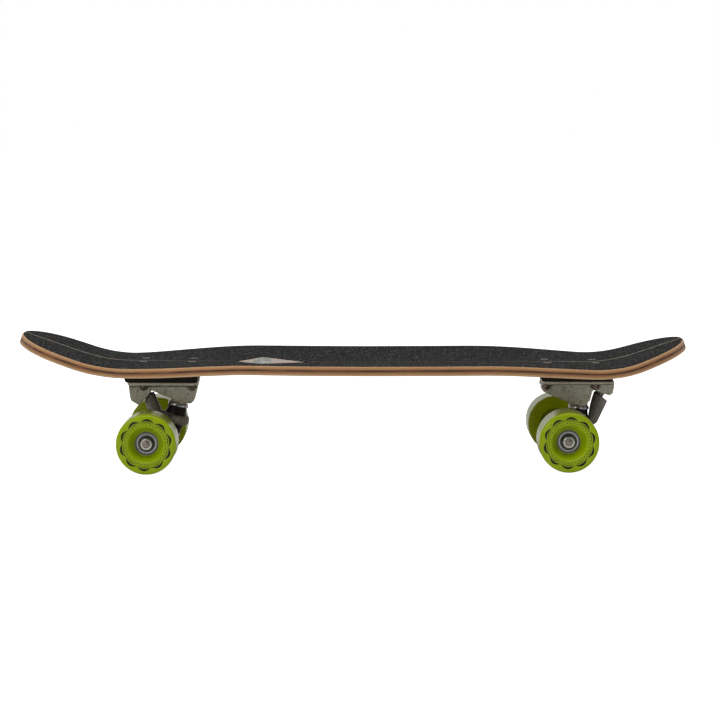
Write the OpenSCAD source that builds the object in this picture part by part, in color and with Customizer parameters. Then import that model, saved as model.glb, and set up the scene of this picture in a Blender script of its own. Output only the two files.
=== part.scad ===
// Skateboard with a kicked plywood deck and two carving trucks.
// +X points to the tail, +Y to the rider's right, +Z up. Millimetres.
// The board is drawn with a level deck and then set down on its wheels by stance().

/* [Deck] */
// Nose tip of the top veneer
nose_x = -366.3; // [-390:0.1:-340]
// Tail tip of the top veneer
tail_x = 367.6; // [340:0.1:390]
// Height of the top veneer over the trucks
deck_z = 111.1; // [90:0.1:130]
// How far the middle of the deck sags below that
deck_dip = 1.3; // [0:0.1:5]
// Start of the nose kick
nose_kick_x = -245; // [-280:1:-200]
// Radius of the nose kick
nose_kick_r = 168; // [100:1:300]
// Angle of the nose
nose_angle = 18.9; // [5:0.1:25]
// Start of the tail kick
tail_kick_x = 258; // [200:1:300]
// Radius of the tail kick
tail_kick_r = 173; // [100:1:300]
// Angle of the tail
tail_angle = 18.7; // [5:0.1:25]
// Length over which the nose is rounded off
nose_round = 107; // [60:1:140]
// Length over which the tail is rounded off
tail_round = 84; // [60:1:140]
// Rise of the rails at the middle of the deck
concave = 7.3; // [0:0.1:15]
// Thickness of the light upper plies
upper_ply = 3.8; // [1:0.1:6]
// Thickness of the dark middle ply
core_ply = 1.9; // [0.5:0.1:4]
// Thickness of the light lower plies
lower_ply = 4.6; // [1:0.1:6]
// Thickness of the grip sheet
grip_t = 0.8; // [0.4:0.1:1.5]
// Gap between the two grip sheets
grip_slit = 3; // [0.5:0.1:6]
// Distance of the grip sheet from the deck edge
grip_inset = 1; // [0.5:0.1:3]
// Nose side, widest point and tail side of the window in the grip
window_x = [-131, -101, -48];
// Half width of the window
window_y = 45; // [10:1:60]

/* [Trucks] */
// Front axle, along the board and up
front_axle = [-221.8, 30.8];
// Rear axle, along the board and up
rear_axle = [233.5, 34.2];
// Centre of the front kingpin ring
front_ring = [-198.4, 47];
// Centre of the rear kingpin ring
rear_ring = [251.4, 44.8];
// Lean of the front kingpin
front_pin_lean = 15; // [-20:0.5:20]
// Lean of the rear kingpin
rear_pin_lean = 4; // [-20:0.5:20]
// Lean of the front steering axis
front_steer = -48.9; // [-60:0.1:-30]
// Lean of the rear steering axis
rear_steer = 37.9; // [30:0.1:60]
// Distance from the ring to the front pivot ball
front_pivot = 44.5; // [35:0.1:50]
// Distance from the ring to the rear pivot ball
rear_pivot = 46; // [35:0.1:50]
// Largest swing of a hanger to each side
swing = 20; // [10:1:25]
// Underside of the front riser pad
front_base_z = 89.8; // [85:0.1:95]
// Underside of the rear riser pad
rear_base_z = 92.4; // [85:0.1:95]
// Middle of the front bolt pattern
front_bolts_x = -204.5; // [-215:0.5:-195]
// Middle of the rear bolt pattern
rear_bolts_x = 242.5; // [235:0.5:255]
// Bolt pattern, along the board
bolt_long = 53.98; // [50:0.01:65]
// Bolt pattern, across the board
bolt_wide = 41.28; // [40:0.01:45]
// Half the width of a hanger
hanger_y = 74.5; // [60:0.5:90]
// Axle diameter
axle_d = 7.94; // [7:0.01:9]
// Kingpin diameter
kingpin_d = 9.5; // [8:0.1:11]
// Radius of the pivot pin
pivot_r = 5; // [4:0.1:6]
// Running clearance of the pivot pin in its cup
pivot_gap = 0.06; // [0.02:0.01:0.1]

/* [Wheels] */
// Wheel diameter
wheel_d = 65; // [55:0.5:75]
// Wheel width
wheel_w = 51; // [40:0.5:60]
// Middle of a wheel, across the board
wheel_y = 87.3; // [80:0.1:95]
// Radius of the wheel's lips
wheel_lip = 3.75; // [1:0.25:6]
// Width of a bearing
bearing_w = 7; // [7:0.1:8]
// Gap between the two bearings of a wheel
bearing_gap = 10; // [8:0.1:12]
// Ball diameter
ball_d = 3.97; // [3.9:0.01:4]
// Clearance between a ball and its grooves
ball_gap = 0.04; // [0.02:0.01:0.08]

/* [Hidden] */
$fn = 64;

// ---- stance: the deck leans nose-up until both pairs of wheels touch z = 0

stance_lean = atan((rear_axle[1] - front_axle[1]) / (rear_axle[0] - front_axle[0]));
stance_lift = wheel_d / 2 + front_axle[0] * sin(stance_lean) - front_axle[1] * cos(stance_lean);
// Puts the middle of the bounding box over the origin
stance_shift = -1.62;
module stance() { translate([stance_shift, 0, stance_lift]) rotate([0, stance_lean, 0]) children(); }

// ---- deck shape

// Half width of the deck before the ends are rounded off, by station
body = [[-370, 122], [-350, 123], [-330, 116], [-300, 102], [-270, 94.5], [-240, 98], [-200, 110.5],
  [-160, 118.5], [-120, 122.5], [-60, 124.5], [0, 124.5], [60, 125], [120, 125], [160, 123.5],
  [200, 119.5], [235, 113], [270, 106.5], [300, 103.5], [330, 102], [370, 101]];
function seg(x, i = 1) = (i >= len(body) - 1 || x < body[i][0]) ? i - 1 : seg(x, i + 1);
function slope(i) = let (a = max(0, i - 1), b = min(len(body) - 1, i + 1))
  (body[b][1] - body[a][1]) / (body[b][0] - body[a][0]);
function body_w(x) = let (i = seg(x), h = body[i + 1][0] - body[i][0], u = (x - body[i][0]) / h)
  (2*u*u*u - 3*u*u + 1) * body[i][1] + (u*u*u - 2*u*u + u) * h * slope(i)
  + (3*u*u - 2*u*u*u) * body[i + 1][1] + (u*u*u - u*u) * h * slope(i + 1);
function half_w(x) = body_w(x)
  * sqrt(1 - pow(min(1, max(0, (nose_x + nose_round - x) / nose_round)), 1.95))
  * sqrt(1 - pow(min(1, max(0, (x - tail_x + tail_round) / tail_round)), 2.12));
function ease(t) = let (u = min(1, max(0, t))) u*u*(3 - 2*u);
function rail(x) = concave * ease((x + 255) / 150) * ease((310 - x) / 175);
// Angle of the deck at a station, positive where it climbs towards the tail
function lean(x) = x < nose_kick_x ? -min(nose_angle, asin(min(1, (nose_kick_x - x) / nose_kick_r)))
  : x > tail_kick_x ? min(tail_angle, asin(min(1, (x - tail_kick_x) / tail_kick_r)))
  : abs(x) < 220 ? atan(deck_dip * PI / 440 * sin(180 * x / 220)) : 0;
function kick(d, r, a) = d < r * sin(a) ? r - sqrt(r*r - d*d)
  : r * (1 - cos(a)) + (d - r * sin(a)) * tan(a);
function top_z(x) = deck_z + (x < nose_kick_x ? kick(nose_kick_x - x, nose_kick_r, nose_angle)
  : x > tail_kick_x ? kick(x - tail_kick_x, tail_kick_r, tail_angle)
  : abs(x) < 220 ? -deck_dip * (1 + cos(180 * x / 220)) / 2 : 0);

rows = 48;
cols = 8;
function row_x(i) = let (a = nose_x + 0.1, b = tail_x - 0.1) (a + b) / 2 - (b - a) / 2 * cos(180 * i / rows);
function col_y(w, k) = k == 0 ? 0 : k == cols ? w
  : grip_slit / 2 + (w - grip_inset - grip_slit / 2) * (k - 1) / (cols - 2);
function deck_point(i, k, t) = let (x = row_x(i), w = half_w(x), y = sign(k) * col_y(w, abs(k)), a = lean(x))
  [x - t * sin(a), y, top_z(x) + rail(x) * pow(abs(y) / w, 1.55) + t * cos(a)];

// A sheet of the deck between heights t0 and t1 above the top veneer, rows i0..i1, columns k0..k1
module sheet(t0, t1, i0 = 0, i1 = rows, k0 = -cols, k1 = cols) {
  n = k1 - k0 + 1;
  m = i1 - i0 + 1;
  pts = [for (t = [t0, t1]) for (i = [i0:i1]) for (k = [k0:k1]) deck_point(i, k, t)];
  function id(s, i, k) = s * m * n + i * n + k;
  faces = concat(
    [for (i = [0:m-2]) for (k = [0:n-2]) for (f = [
      [id(1,i,k), id(1,i+1,k+1), id(1,i+1,k)], [id(1,i,k), id(1,i,k+1), id(1,i+1,k+1)],
      [id(0,i,k), id(0,i+1,k), id(0,i+1,k+1)], [id(0,i,k), id(0,i+1,k+1), id(0,i,k+1)]]) f],
    [for (i = [0:m-2]) for (f = [
      [id(0,i,0), id(1,i,0), id(1,i+1,0)], [id(0,i,0), id(1,i+1,0), id(0,i+1,0)],
      [id(0,i,n-1), id(1,i+1,n-1), id(1,i,n-1)], [id(0,i,n-1), id(0,i+1,n-1), id(1,i+1,n-1)]]) f],
    [for (k = [0:n-2]) for (f = [
      [id(0,0,k), id(0,0,k+1), id(1,0,k+1)], [id(0,0,k), id(1,0,k+1), id(1,0,k)],
      [id(0,m-1,k), id(1,m-1,k+1), id(0,m-1,k+1)], [id(0,m-1,k), id(1,m-1,k), id(1,m-1,k+1)]]) f]);
  polyhedron(pts, faces, convexity = 6);
}

module at_bolts(x) {
  for (sx = [-1, 1], sy = [-1, 1]) translate([x + sx * bolt_long / 2, sy * bolt_wide / 2, 0]) children();
}
module bolt_holes(x, d, z0, z1) { at_bolts(x) translate([0, 0, z0]) cylinder(d = d, h = z1 - z0); }
module all_bolt_holes(d) {
  bolt_holes(front_bolts_x, d, 60, 130);
  bolt_holes(rear_bolts_x, d, 60, 130);
}
head_top = 112.5;
module countersinks() {
  for (x = [front_bolts_x, rear_bolts_x]) at_bolts(x) {
    translate([0, 0, head_top - 2.9]) cylinder(r1 = 2.5, r2 = 4.9, h = 2.4);
    translate([0, 0, head_top - 0.5]) cylinder(r = 4.9, h = 4);
  }
}

module deck_upper_plies() color("BurlyWood") stance() difference() {
  sheet(-upper_ply, 0);
  all_bolt_holes(5.4);
  countersinks();
}
module deck_core_ply() color("SaddleBrown") stance() difference() {
  sheet(-upper_ply - core_ply, -upper_ply);
  all_bolt_holes(5.4);
}
module deck_lower_plies() color("BurlyWood") stance() difference() {
  sheet(-upper_ply - core_ply - lower_ply, -upper_ply - core_ply);
  all_bolt_holes(5.4);
}
module window() {
  translate([0, 0, 100]) linear_extrude(25)
    polygon([[window_x[0], 0], [window_x[1], window_y], [window_x[2], 0], [window_x[1], -window_y]]);
}
module grip(k0, k1) color("DimGray") stance() difference() {
  sheet(0, grip_t, 1, rows - 1, k0, k1);
  window();
  for (x = [front_bolts_x, rear_bolts_x]) bolt_holes(x, 10.2, 100, 125);
}
module grip_tape_left() grip(-cols + 1, -1);
module grip_tape_right() grip(1, cols - 1);

// ---- placing

module pin_frame(ring, pin_lean) { translate([ring[0], 0, ring[1]]) rotate([0, pin_lean, 0]) children(); }
module steer_frame(ring, steer) { translate([ring[0], 0, ring[1]]) rotate([0, steer, 0]) children(); }
// Along an axle; the local Z points away from the middle of the board
module wheel_frame(axle, side) { translate([axle[0], side * wheel_y, axle[1]]) rotate([side < 0 ? 90 : -90, 0, 0]) children(); }
module axle_frame(axle) { translate([axle[0], 0, axle[1]]) rotate([90, 0, 0]) children(); }
// A side profile, given as [along, up], spread across the board
module profile(pts, width) { rotate([90, 0, 0]) linear_extrude(width, center = true) polygon(pts); }
module plate(x0, x1, y, r, z0, z1) {
  translate([x0 + r, -y, z0]) cube([x1 - x0 - 2 * r, 2 * y, z1 - z0]);
  translate([x0, -y + r, z0]) cube([x1 - x0, 2 * y - 2 * r, z1 - z0]);
  for (x = [x0 + r, x1 - r], s = [-1, 1]) translate([x, s * (y - r), z0]) cylinder(r = r, h = z1 - z0);
}
module hexagon(across, h) { cylinder(d = across / cos(30), h = h, $fn = 6); }

// ---- riser pads

module front_riser_pad() color("Black") stance() difference() {
  intersection() {
    profile([[-250.5, front_base_z], [-171.6, front_base_z], [-170, 104], [-256, 104]], 60);
    plate(-257, -168, 29, 8, front_base_z, 104);
  }
  sheet(-upper_ply - core_ply - lower_ply, 6, 7, 21);
  bolt_holes(front_bolts_x, 5.4, 80, 110);
}
module rear_riser_pad() color("Black") stance() difference() {
  intersection() {
    profile([[210, rear_base_z], [287, rear_base_z], [293, 106], [206.5, 106]], 60);
    plate(206, 294, 29, 8, rear_base_z, 106);
  }
  sheet(-upper_ply - core_ply - lower_ply, 8, 30, 42);
  bolt_holes(rear_bolts_x, 5.4, 80, 110);
}

// ---- truck bolts

module truck_bolts(x, low) at_bolts(x) {
  translate([0, 0, low]) cylinder(d = 4.8, h = head_top - 2 - low);
  difference() {
    union() {
      translate([0, 0, head_top - 2.85]) cylinder(r1 = 2.4, r2 = 4.7, h = 2.3);
      translate([0, 0, head_top - 0.55]) cylinder(r = 4.7, h = 0.55);
    }
    for (a = [0, 90]) rotate([0, 0, a]) translate([-2.4, -0.5, head_top - 1.6]) cube([4.8, 1, 3]);
  }
}
module bolt_nuts(x, top) at_bolts(x) translate([0, 0, top - 5.2]) difference() {
  union() {
    translate([0, 0, 1.4]) hexagon(9.5, 3.8);
    cylinder(r = 4.2, h = 1.4);
  }
  translate([0, 0, -1]) cylinder(d = 4.8, h = 8);
}
front_flange = 3.6;
rear_flange = 4;
module front_truck_bolts() color("DarkSlateGray") stance() truck_bolts(front_bolts_x, front_base_z - front_flange - 6.4);
module rear_truck_bolts() color("DarkSlateGray") stance() truck_bolts(rear_bolts_x, rear_base_z - rear_flange - 6.4);
module front_truck_bolt_nuts() color("DarkSlateGray") stance() bolt_nuts(front_bolts_x, front_base_z - front_flange);
module rear_truck_bolt_nuts() color("DarkSlateGray") stance() bolt_nuts(rear_bolts_x, rear_base_z - rear_flange);

// ---- baseplates

seat = 18.6;         // kingpin seat above the ring centre
cup_r = 6.8;         // outside radius of a pivot cup
module kingpin_cut(head) {
  translate([0, 0, -40]) cylinder(d = kingpin_d, h = 100);
  translate([0, 0, head]) hexagon(14.3, 30);
}
module cup_solid(mouth, dist) {
  translate([0, 0, mouth]) cylinder(r = cup_r, h = dist - mouth);
  translate([0, 0, dist]) sphere(r = cup_r);
}
front_head = 36;
rear_head = 39.5;
front_body = [[-248.6, 87.3], [-248.4, 84], [-246.9, 71.3], [-245.6, 67.9], [-236.5, 62.3],
  [-222.4, 79.4], [-212.7, 75.1], [-201.8, 70.8], [-190.7, 67.1], [-179.7, 64.6], [-176.1, 67.5],
  [-173, 79.5], [-171.6, 87.3]];
rear_body = [[210.6, 90], [210.8, 80.9], [212.5, 79.1], [229.9, 71.6], [241, 67.2], [244.4, 65.9],
  [261, 65.9], [264.6, 70.4], [266.6, 79.4], [268, 81.3], [285.6, 75.2], [289.4, 77.6],
  [291, 85.5], [290.6, 90]];
module front_baseplate() color("DimGray") stance() difference() {
  union() {
    plate(-249.2, -171.2, 29, 8, front_base_z - front_flange, front_base_z);
    profile(front_body, 29);
    pin_frame(front_ring, front_pin_lean) translate([0, 0, seat]) cylinder(r = 10, h = 12);
  }
  pin_frame(front_ring, front_pin_lean) kingpin_cut(front_head);
  steer_frame(front_ring, front_steer) cup_solid(38, front_pivot);
  bolt_holes(front_bolts_x, 5.4, 80, 110);
}
module rear_baseplate() color("DimGray") stance() difference() {
  union() {
    plate(210.5, 290.2, 29, 8, rear_base_z - rear_flange, rear_base_z);
    profile(rear_body, 29);
    pin_frame(rear_ring, rear_pin_lean) translate([0, 0, seat]) cylinder(r = 10, h = 10);
  }
  pin_frame(rear_ring, rear_pin_lean) kingpin_cut(rear_head);
  steer_frame(rear_ring, rear_steer) cup_solid(36, rear_pivot);
  bolt_holes(rear_bolts_x, 5.4, 80, 110);
}
module pivot_cup(mouth, dist) difference() {
  cup_solid(mouth, dist);
  translate([0, 0, mouth - 6]) cylinder(r = pivot_r + pivot_gap, h = dist - mouth + 6);
  translate([0, 0, dist]) sphere(r = pivot_r + pivot_gap);
}
module front_pivot_cup() color("Black") stance()
  steer_frame(front_ring, front_steer) pivot_cup(39.55, front_pivot);
module rear_pivot_cup() color("Black") stance() intersection() {
  steer_frame(rear_ring, rear_steer) pivot_cup(36, rear_pivot);
  profile(rear_body, 29);
}

// ---- kingpins and bushings

module kingpin(head) {
  translate([0, 0, -27]) cylinder(d = kingpin_d, h = head + 28);
  translate([0, 0, head]) hexagon(14.3, 5.5);
}
module kingpin_nut() difference() {
  union() {
    translate([0, 0, -22.3]) hexagon(14.3, 5.2);
    translate([0, 0, -24.6]) cylinder(r = 6.5, h = 2.4);
  }
  translate([0, 0, -30]) cylinder(d = kingpin_d, h = 20);
}
module upper_bushing() difference() {
  rotate_extrude() polygon([[0, 3.5], [12.3, 3.5], [12.5, 5], [12.2, 7], [10.2, 16.2], [9.8, 17], [0, 17]]);
  translate([0, 0, 0]) cylinder(d = kingpin_d + 0.3, h = 20);
}
module lower_bushing() difference() {
  rotate_extrude() polygon([[0, -3.5], [11.6, -3.5], [11.8, -5], [9.6, -14.8], [9.2, -15.5], [0, -15.5]]);
  translate([0, 0, -20]) cylinder(d = kingpin_d + 0.3, h = 20);
}
module upper_washer() rotate_extrude()
  polygon([[kingpin_d / 2, 17], [10.3, 17], [10.5, 15.2], [11.3, 14.8], [11.8, 15.2], [11.3, 17.9], [10.6, 18.6], [kingpin_d / 2, 18.6]]);
module lower_washer() rotate_extrude()
  polygon([[kingpin_d / 2, -15.5], [9.8, -15.5], [10.2, -15.9], [10.2, -16.7], [9.8, -17.1], [kingpin_d / 2, -17.1]]);
module front_kingpin() color("Silver") stance() pin_frame(front_ring, front_pin_lean) kingpin(front_head);
module rear_kingpin() color("Silver") stance() pin_frame(rear_ring, rear_pin_lean) kingpin(rear_head);
module front_kingpin_nut() color("Silver") stance() pin_frame(front_ring, front_pin_lean) kingpin_nut();
module rear_kingpin_nut() color("Silver") stance() pin_frame(rear_ring, rear_pin_lean) kingpin_nut();
module front_upper_bushing() color("Black") stance() pin_frame(front_ring, front_pin_lean) upper_bushing();
module rear_upper_bushing() color("Black") stance() pin_frame(rear_ring, rear_pin_lean) upper_bushing();
module front_lower_bushing() color("Black") stance() pin_frame(front_ring, front_pin_lean) lower_bushing();
module rear_lower_bushing() color("Black") stance() pin_frame(rear_ring, rear_pin_lean) lower_bushing();
module front_upper_cup_washer() color("Silver") stance() pin_frame(front_ring, front_pin_lean) upper_washer();
module rear_upper_cup_washer() color("Silver") stance() pin_frame(rear_ring, rear_pin_lean) upper_washer();
module front_lower_washer() color("Silver") stance() pin_frame(front_ring, front_pin_lean) lower_washer();
module rear_lower_washer() color("Silver") stance() pin_frame(rear_ring, rear_pin_lean) lower_washer();

// ---- hangers

module beam() rotate_extrude() polygon([[0, -hanger_y], [7.4, -hanger_y], [7.4, -60], [9, -52], [9.8, -16],
  [9.8, 16], [9, 52], [7.4, 60], [7.4, hanger_y], [0, hanger_y]]);
// Room for the kingpin, its nut and the bushings through the whole swing
module hanger_cuts(ring, pin_lean, steer, axle) {
  axle_frame(axle) cylinder(d = axle_d, h = 200, center = true);
  pin_frame(ring, pin_lean) {
    translate([0, 0, -20]) cylinder(r = 7.6, h = 60);
    translate([0, 0, 3.5]) cylinder(r = 12.9, h = 22);
    translate([0, 0, -12]) cylinder(r = 12.1, h = 8.5);
  }
  steer_frame(ring, steer) for (a = [-swing - 1 : (swing + 1) / 3 : swing + 1]) rotate([0, 0, a])
    rotate([0, pin_lean - steer, 0]) translate([0, 0, -34]) cylinder(r = 10.8, h = 26);
}
module pivot_pin(from, dist) {
  translate([0, 0, from]) cylinder(r = pivot_r, h = dist - from);
  translate([0, 0, dist]) sphere(r = pivot_r);
}
module pin_ring() rotate_extrude()
  polygon([[0, -4.8], [12.8, -4.8], [15.4, -3.4], [16.4, -1.2], [16.4, 3], [15.4, 5.2], [13.6, 6], [0, 6]]);
module gussets(ring, pin_lean, axle) for (s = [-1, 1]) hull() {
  pin_frame(ring, pin_lean) translate([-4, s * 12.6, -4.2]) cylinder(r = 3.6, h = 8.6, $fn = 32);
  translate([axle[0], s * 38, axle[1]]) sphere(r = 7.6, $fn = 32);
}
module front_hanger() color("SlateGray") stance() {
  difference() {
    union() {
      axle_frame(front_axle) beam();
      pin_frame(front_ring, front_pin_lean) pin_ring();
      hull() {
        steer_frame(front_ring, front_steer) translate([0, 0, 36.6]) cylinder(r = 7.3, h = 1.4, $fn = 32);
        translate([-220.9, 0, 58]) sphere(r = 7.6, $fn = 32);
      }
      hull() {
        translate([-220.9, 0, 58]) sphere(r = 7.6, $fn = 32);
        axle_frame(front_axle) cylinder(r = 9.7, h = 28, center = true, $fn = 32);
      }
      hull() {
        translate([-219.5, 0, 46]) rotate([90, 0, 0]) cylinder(r = 7, h = 16, center = true, $fn = 32);
        pin_frame(front_ring, front_pin_lean) translate([-11, 0, -4.4]) cylinder(r = 5, h = 9.6, $fn = 32);
      }
      gussets(front_ring, front_pin_lean, front_axle);
    }
    hanger_cuts(front_ring, front_pin_lean, front_steer, front_axle);
  }
  steer_frame(front_ring, front_steer) pivot_pin(37, front_pivot);
}
module rear_hanger() color("SlateGray") stance() {
  difference() {
    union() {
      axle_frame(rear_axle) beam();
      pin_frame(rear_ring, rear_pin_lean) pin_ring();
      hull() {
        steer_frame(rear_ring, rear_steer) translate([3, 0, 37.2]) cylinder(r = 9.2, h = 1.4, $fn = 32);
        translate([267.8, 0, 48]) sphere(r = 7, $fn = 32);
      }
      hull() {
        pin_frame(rear_ring, rear_pin_lean) translate([-8, 0, -4.4]) cylinder(r = 8, h = 9.6, $fn = 32);
        axle_frame(rear_axle) cylinder(r = 9.7, h = 28, center = true, $fn = 32);
      }
      gussets(rear_ring, rear_pin_lean, rear_axle);
    }
    hanger_cuts(rear_ring, rear_pin_lean, rear_steer, rear_axle);
  }
  steer_frame(rear_ring, rear_steer) pivot_pin(38, rear_pivot);
}

// ---- axles

washer_t = 0.8;
bearing_in = wheel_y - bearing_gap / 2 - bearing_w;   // inner face of the inner bearing
bearing_out = wheel_y + bearing_gap / 2 + bearing_w;  // outer face of the outer bearing
module axle_rod() { translate([0, 0, -108.6]) cylinder(d = axle_d, h = 217.2);
  for (s = [-1, 1]) translate([0, 0, s * 108.6]) mirror([0, 0, s < 0 ? 1 : 0]) cylinder(d1 = axle_d, d2 = axle_d - 1, h = 0.5); }
module axle_nut() translate([0, 0, bearing_out + washer_t]) difference() {
  union() { hexagon(12.7, 5); translate([0, 0, 5]) cylinder(r = 5.6, h = 1.5); }
  translate([0, 0, -1]) cylinder(d = axle_d, h = 9);
}
module tube(r0, r1, z0, z1) translate([0, 0, z0]) difference() {
  cylinder(r = r1, h = z1 - z0);
  translate([0, 0, -1]) cylinder(r = r0, h = z1 - z0 + 2);
}
module both_sides(axle) { for (s = [0, 1]) axle_frame(axle) mirror([0, 0, s]) children(); }
module speed_washers() { tube(axle_d / 2, 5.6, bearing_in - washer_t, bearing_in); tube(axle_d / 2, 5.6, bearing_out, bearing_out + washer_t); }
module inner_rings() for (z = [bearing_in, bearing_out - bearing_w]) translate([0, 0, z]) difference() {
  tube(axle_d / 2, 6, 0, bearing_w);
  translate([0, 0, bearing_w / 2]) rotate_extrude() translate([7.5, 0]) circle(r = ball_d / 2 + ball_gap);
}
module front_axle() color("Silver") stance() axle_frame(front_axle) axle_rod();
module rear_axle() color("Silver") stance() axle_frame(rear_axle) axle_rod();
module front_axle_nuts() color("Silver") stance() both_sides(front_axle) axle_nut();
module rear_axle_nuts() color("Silver") stance() both_sides(rear_axle) axle_nut();
module front_speed_washers() color("Silver") stance() both_sides(front_axle) speed_washers();
module rear_speed_washers() color("Silver") stance() both_sides(rear_axle) speed_washers();
module front_bearing_inner_rings() color("Silver") stance() both_sides(front_axle) inner_rings();
module rear_bearing_inner_rings() color("Silver") stance() both_sides(rear_axle) inner_rings();
module front_bearing_spacers() color("Silver") stance() both_sides(front_axle) tube(axle_d / 2, 5.2, bearing_in + bearing_w, bearing_out - bearing_w);
module rear_bearing_spacers() color("Silver") stance() both_sides(rear_axle) tube(axle_d / 2, 5.2, bearing_in + bearing_w, bearing_out - bearing_w);

// ---- wheels, drawn about their own middle with Z pointing outwards

core_face = 13;
function lip(r, z, a0, a1) = [for (i = [0:6]) let (a = a0 + (a1 - a0) * i / 6) [r + wheel_lip * cos(a), z + wheel_lip * sin(a)]];
module wheel() {
  e = wheel_w / 2;
  rotate_extrude() polygon(concat(
    [[12.8, core_face], [13.3, core_face], [19.4, e - 0.6], [20.3, e]],
    lip(wheel_d / 2 - wheel_lip, e - wheel_lip, 90, 0),
    lip(wheel_d / 2 - wheel_lip, wheel_lip - e, 0, -90),
    [[20.3, -e], [19.4, 0.6 - e], [13.3, -core_face], [12.8, -core_face], [12.8, -10], [17, -10], [17, 10], [12.8, 10]]));
}
module wheel_core() rotate_extrude() polygon([[11, core_face], [12.8, core_face], [12.8, 10], [17, 10], [17, -10],
  [12.8, -10], [12.8, -core_face], [11, -core_face], [11, -5], [9.6, -5], [9.6, 5], [11, 5]]);
module outer_rings() for (z = [-12, 5]) translate([0, 0, z]) difference() {
  tube(9.2, 11, 0, bearing_w);
  translate([0, 0, bearing_w / 2]) rotate_extrude() translate([7.5, 0]) circle(r = ball_d / 2 + ball_gap);
}
module shields() for (z = [-12, 5], s = [0.3, bearing_w - 0.6]) tube(6.4, 9.2, z + s, z + s + 0.3);
module balls() for (z = [-12, 5], a = [0:360/7:359]) rotate([0, 0, a]) translate([7.5, 0, z + bearing_w / 2]) sphere(d = ball_d);

module front_left_wheel() color("YellowGreen") stance() wheel_frame(front_axle, -1) wheel();
module front_left_wheel_core() color("WhiteSmoke") stance() wheel_frame(front_axle, -1) wheel_core();
module front_left_bearing_outer_rings() color("Silver") stance() wheel_frame(front_axle, -1) outer_rings();
module front_left_bearing_shields() color("DimGray") stance() wheel_frame(front_axle, -1) shields();
module front_left_bearing_balls() color("Silver") stance() wheel_frame(front_axle, -1) balls();
module front_right_wheel() color("YellowGreen") stance() wheel_frame(front_axle, 1) wheel();
module front_right_wheel_core() color("WhiteSmoke") stance() wheel_frame(front_axle, 1) wheel_core();
module front_right_bearing_outer_rings() color("Silver") stance() wheel_frame(front_axle, 1) outer_rings();
module front_right_bearing_shields() color("DimGray") stance() wheel_frame(front_axle, 1) shields();
module front_right_bearing_balls() color("Silver") stance() wheel_frame(front_axle, 1) balls();
module rear_left_wheel() color("YellowGreen") stance() wheel_frame(rear_axle, -1) wheel();
module rear_left_wheel_core() color("WhiteSmoke") stance() wheel_frame(rear_axle, -1) wheel_core();
module rear_left_bearing_outer_rings() color("Silver") stance() wheel_frame(rear_axle, -1) outer_rings();
module rear_left_bearing_shields() color("DimGray") stance() wheel_frame(rear_axle, -1) shields();
module rear_left_bearing_balls() color("Silver") stance() wheel_frame(rear_axle, -1) balls();
module rear_right_wheel() color("YellowGreen") stance() wheel_frame(rear_axle, 1) wheel();
module rear_right_wheel_core() color("WhiteSmoke") stance() wheel_frame(rear_axle, 1) wheel_core();
module rear_right_bearing_outer_rings() color("Silver") stance() wheel_frame(rear_axle, 1) outer_rings();
module rear_right_bearing_shields() color("DimGray") stance() wheel_frame(rear_axle, 1) shields();
module rear_right_bearing_balls() color("Silver") stance() wheel_frame(rear_axle, 1) balls();

// ---- parts

deck_upper_plies();
deck_core_ply();
deck_lower_plies();
grip_tape_left();
grip_tape_right();
front_riser_pad();
front_truck_bolts();
front_truck_bolt_nuts();
front_baseplate();
front_pivot_cup();
front_kingpin();
front_kingpin_nut();
front_upper_bushing();
front_lower_bushing();
front_upper_cup_washer();
front_lower_washer();
front_hanger();
front_axle();
front_axle_nuts();
front_speed_washers();
front_bearing_inner_rings();
front_bearing_spacers();
rear_riser_pad();
rear_truck_bolts();
rear_truck_bolt_nuts();
rear_baseplate();
rear_pivot_cup();
rear_kingpin();
rear_kingpin_nut();
rear_upper_bushing();
rear_lower_bushing();
rear_upper_cup_washer();
rear_lower_washer();
rear_hanger();
rear_axle();
rear_axle_nuts();
rear_speed_washers();
rear_bearing_inner_rings();
rear_bearing_spacers();
front_left_wheel();
front_left_wheel_core();
front_left_bearing_outer_rings();
front_left_bearing_shields();
front_left_bearing_balls();
front_right_wheel();
front_right_wheel_core();
front_right_bearing_outer_rings();
front_right_bearing_shields();
front_right_bearing_balls();
rear_left_wheel();
rear_left_wheel_core();
rear_left_bearing_outer_rings();
rear_left_bearing_shields();
rear_left_bearing_balls();
rear_right_wheel();
rear_right_wheel_core();
rear_right_bearing_outer_rings();
rear_right_bearing_shields();
rear_right_bearing_balls();
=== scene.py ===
import bpy, bmesh, math
import numpy as np
from mathutils import Matrix, Vector


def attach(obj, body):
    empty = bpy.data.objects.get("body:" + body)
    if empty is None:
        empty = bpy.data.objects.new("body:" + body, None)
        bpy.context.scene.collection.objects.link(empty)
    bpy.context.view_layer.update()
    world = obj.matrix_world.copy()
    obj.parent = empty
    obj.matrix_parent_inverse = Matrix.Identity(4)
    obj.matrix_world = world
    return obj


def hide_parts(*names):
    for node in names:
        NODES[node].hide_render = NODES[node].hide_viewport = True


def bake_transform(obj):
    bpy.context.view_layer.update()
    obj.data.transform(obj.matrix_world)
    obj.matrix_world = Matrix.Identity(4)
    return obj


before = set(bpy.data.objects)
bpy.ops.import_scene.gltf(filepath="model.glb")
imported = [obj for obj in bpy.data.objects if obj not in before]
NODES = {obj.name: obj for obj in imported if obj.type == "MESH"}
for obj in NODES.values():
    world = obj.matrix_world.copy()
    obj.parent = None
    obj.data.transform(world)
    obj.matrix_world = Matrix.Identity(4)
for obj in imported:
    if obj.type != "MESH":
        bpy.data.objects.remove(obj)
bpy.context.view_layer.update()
col = bpy.context.scene.collection

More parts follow.
